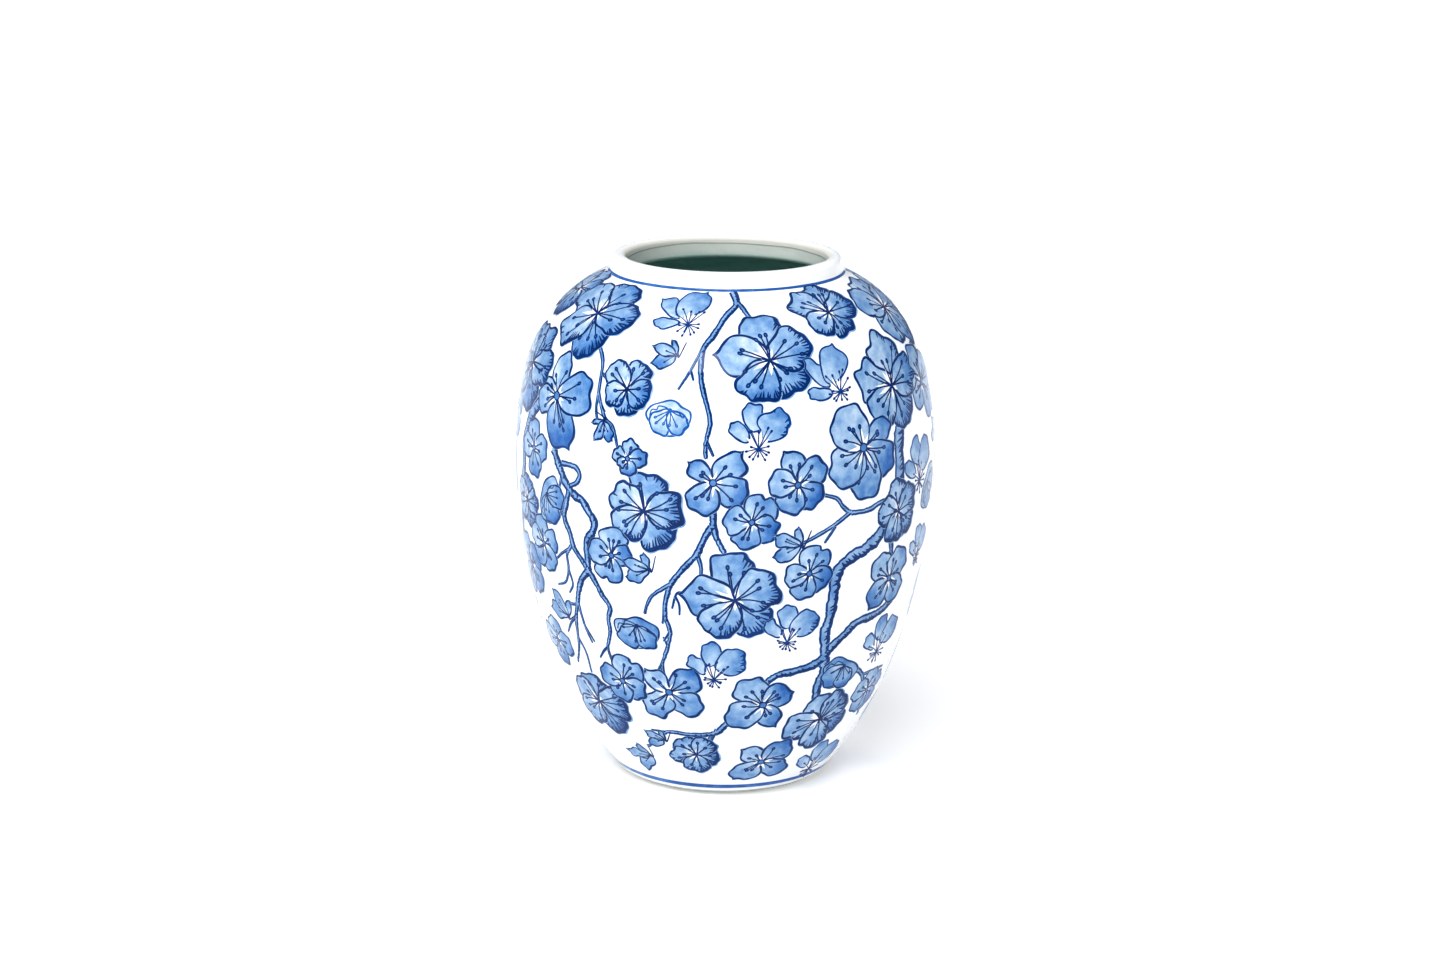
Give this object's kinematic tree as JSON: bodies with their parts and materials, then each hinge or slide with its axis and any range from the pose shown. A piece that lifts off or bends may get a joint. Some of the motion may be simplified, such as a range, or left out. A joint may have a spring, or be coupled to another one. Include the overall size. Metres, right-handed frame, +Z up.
{
  "type": "porcelain vase",
  "caption": "Ovoid blue-and-white porcelain vase with a wide round mouth, a short upright collar and a low foot ring, painted with sprays of blossom.",
  "frame": {"origin": "centre of the foot ring's standing face, on the vase's axis", "axes": "+Z up along the vase's axis from the foot to the mouth; +X and +Y are equal, because the body is a solid of revolution; the painted front faces -Y"},
  "size_m": [0.199, 0.199, 0.25],
  "materials": {
    "porcelain": "hard white porcelain under the glazes",
    "biscuit": "bare fired porcelain, matt and faintly cream where the foot stands",
    "fired_slip": "fired porcelain slip that bonds the sections",
    "clear_glaze": "clear gloss glaze over white porcelain, faintly blue where it pools",
    "celadon_glaze": "grey-green gloss glaze on the inside",
    "cobalt_blue": "brushed cobalt under gloss glaze"
  },
  "bodies": {
    "root": {"lower_body": "porcelain", "upper_body": "porcelain", "neck_collar": "porcelain", "foot_ring": "biscuit", "belly_luting": "fired_slip", "neck_luting": "fired_slip", "foot_luting": "fired_slip", "outer_glaze": "clear_glaze", "inner_glaze": "celadon_glaze", "base_glaze": "clear_glaze", "neck_line": "cobalt_blue", "foot_line": "cobalt_blue"}
  },
  "joints": []
}
